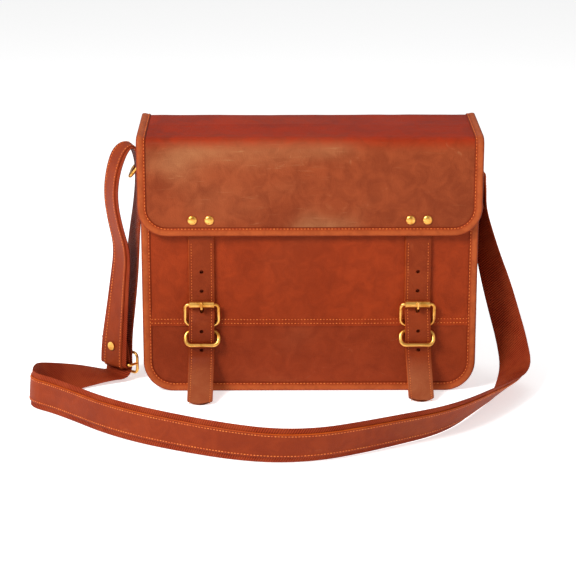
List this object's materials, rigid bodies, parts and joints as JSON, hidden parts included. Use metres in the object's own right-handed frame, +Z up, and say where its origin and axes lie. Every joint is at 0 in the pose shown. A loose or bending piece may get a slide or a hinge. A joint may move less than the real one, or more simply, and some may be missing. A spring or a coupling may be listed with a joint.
{
  "type": "satchel bag",
  "caption": "Leather satchel with a fold-over flap, buckled closure straps and an adjustable webbing-backed shoulder strap on side rings.",
  "frame": {"origin": "centre of the base, on the surface the bag stands on", "axes": "+X to the right seen from the front, +Y to the back, +Z up"},
  "size_m": [0.5229, 0.3276, 0.2794],
  "materials": {
    "leather": "waxed, pulled-up tan",
    "strap_leather": "waxed, smooth",
    "binding": "soft, rolled",
    "webbing": "ribbed weave",
    "lining_cloth": "plain cotton canvas",
    "board": "stiff fibre board",
    "brass": "aged, brushed"
  },
  "bodies": {
    "bag": {"front_panel_lower": "leather", "front_panel_upper": "leather", "back_panel": "leather", "gusset": "leather", "front_binding": "binding", "back_binding": "binding", "mouth_binding": "binding", "lining": "lining_cloth", "base_board": "board", "divider": "lining_cloth", "flap_mount": "leather", "chape_left": "strap_leather", "chape_right": "strap_leather", "side_tab_left": "strap_leather", "side_tab_right": "strap_leather", "side_tab_rivets": "brass"},
    "flap": {"flap_top": "leather", "flap_top_lining": "lining_cloth", "flap_top_binding": "binding"},
    "flap_front": {"flap_front": "leather", "flap_front_lining": "lining_cloth", "flap_front_binding": "binding", "flap_rivets_left": "brass", "flap_rivets_right": "brass", "closure_strap_anchor_left": "strap_leather", "closure_strap_anchor_right": "strap_leather"},
    "shoulder_strap": {"strap_webbing": "webbing", "strap_overlay": "strap_leather", "strap_slider": "brass", "strap_rivet_left": "brass", "strap_rivet_right": "brass"},
    "closure_strap_left": {"closure_strap_left": "strap_leather"},
    "buckle_frame_left": {"buckle_frame_left": "brass"},
    "buckle_prong_left": {"buckle_prong_left": "brass"},
    "buckle_roller_left": {"buckle_roller_left": "brass"},
    "keeper_ring_left": {"keeper_ring_left": "brass"},
    "side_ring_left": {"side_ring_left": "brass"},
    "closure_strap_right": {"closure_strap_right": "strap_leather"},
    "buckle_frame_right": {"buckle_frame_right": "brass"},
    "buckle_prong_right": {"buckle_prong_right": "brass"},
    "buckle_roller_right": {"buckle_roller_right": "brass"},
    "keeper_ring_right": {"keeper_ring_right": "brass"},
    "side_ring_right": {"side_ring_right": "brass"}
  },
  "joints": [
    {"name": "flap_hinge", "type": "hinge", "parent": "bag", "child": "flap", "pos_m": [0, 0.0522, 0.277], "axis": [-1, 0, 0], "range_deg": [0, 150]},
    {"name": "flap_fold", "type": "hinge", "parent": "flap", "child": "flap_front", "pos_m": [0, -0.0554, 0.26235], "axis": [-1, 0, 0], "range_deg": [0, 85]},
    {"name": "closure_strap_bend_left", "type": "hinge", "parent": "flap_front", "child": "closure_strap_left", "pos_m": [-0.112, -0.0513, 0.16675], "axis": [-1, 0, 0], "range_deg": [0, 80], "deforming": ["closure_strap_left"]},
    {"name": "buckle_swing_left", "type": "hinge", "parent": "bag", "child": "buckle_frame_left", "pos_m": [-0.112, -0.051, 0.0732], "axis": [1, 0, 0], "range_deg": [0, 20]},
    {"name": "prong_swing_left", "type": "hinge", "parent": "buckle_frame_left", "child": "buckle_prong_left", "pos_m": [-0.112, -0.051, 0.0732], "axis": [1, 0, 0], "range_deg": [0, 30]},
    {"name": "roller_turn_left", "type": "hinge", "parent": "buckle_frame_left", "child": "buckle_roller_left", "pos_m": [-0.112, -0.0556, 0.0963], "axis": [1, 0, 0], "continuous": true},
    {"name": "keeper_swing_left", "type": "hinge", "parent": "bag", "child": "keeper_ring_left", "pos_m": [-0.112, -0.0504, 0.066], "axis": [-1, 0, 0], "range_deg": [0, 90]},
    {"name": "side_ring_swing_left", "type": "hinge", "parent": "bag", "child": "side_ring_left", "pos_m": [-0.17235, 0, 0.241], "axis": [0, 1, 0], "range_deg": [-12, 12]},
    {"name": "closure_strap_bend_right", "type": "hinge", "parent": "flap_front", "child": "closure_strap_right", "pos_m": [0.112, -0.0513, 0.16675], "axis": [-1, 0, 0], "range_deg": [0, 80], "deforming": ["closure_strap_right"]},
    {"name": "buckle_swing_right", "type": "hinge", "parent": "bag", "child": "buckle_frame_right", "pos_m": [0.112, -0.051, 0.0732], "axis": [1, 0, 0], "range_deg": [0, 20]},
    {"name": "prong_swing_right", "type": "hinge", "parent": "buckle_frame_right", "child": "buckle_prong_right", "pos_m": [0.112, -0.051, 0.0732], "axis": [1, 0, 0], "range_deg": [0, 30]},
    {"name": "roller_turn_right", "type": "hinge", "parent": "buckle_frame_right", "child": "buckle_roller_right", "pos_m": [0.112, -0.0556, 0.0963], "axis": [1, 0, 0], "continuous": true},
    {"name": "keeper_swing_right", "type": "hinge", "parent": "bag", "child": "keeper_ring_right", "pos_m": [0.112, -0.0504, 0.066], "axis": [-1, 0, 0], "range_deg": [0, 90]},
    {"name": "side_ring_swing_right", "type": "hinge", "parent": "bag", "child": "side_ring_right", "pos_m": [0.17235, 0, 0.241], "axis": [0, 1, 0], "range_deg": [-12, 12]},
    {"name": "shoulder_strap_lift", "type": "hinge", "parent": "bag", "child": "shoulder_strap", "pos_m": [0, 0, 0.228], "axis": [-1, 0, 0], "range_deg": [0, 120], "deforming": ["strap_webbing", "strap_overlay"]}
  ]
}
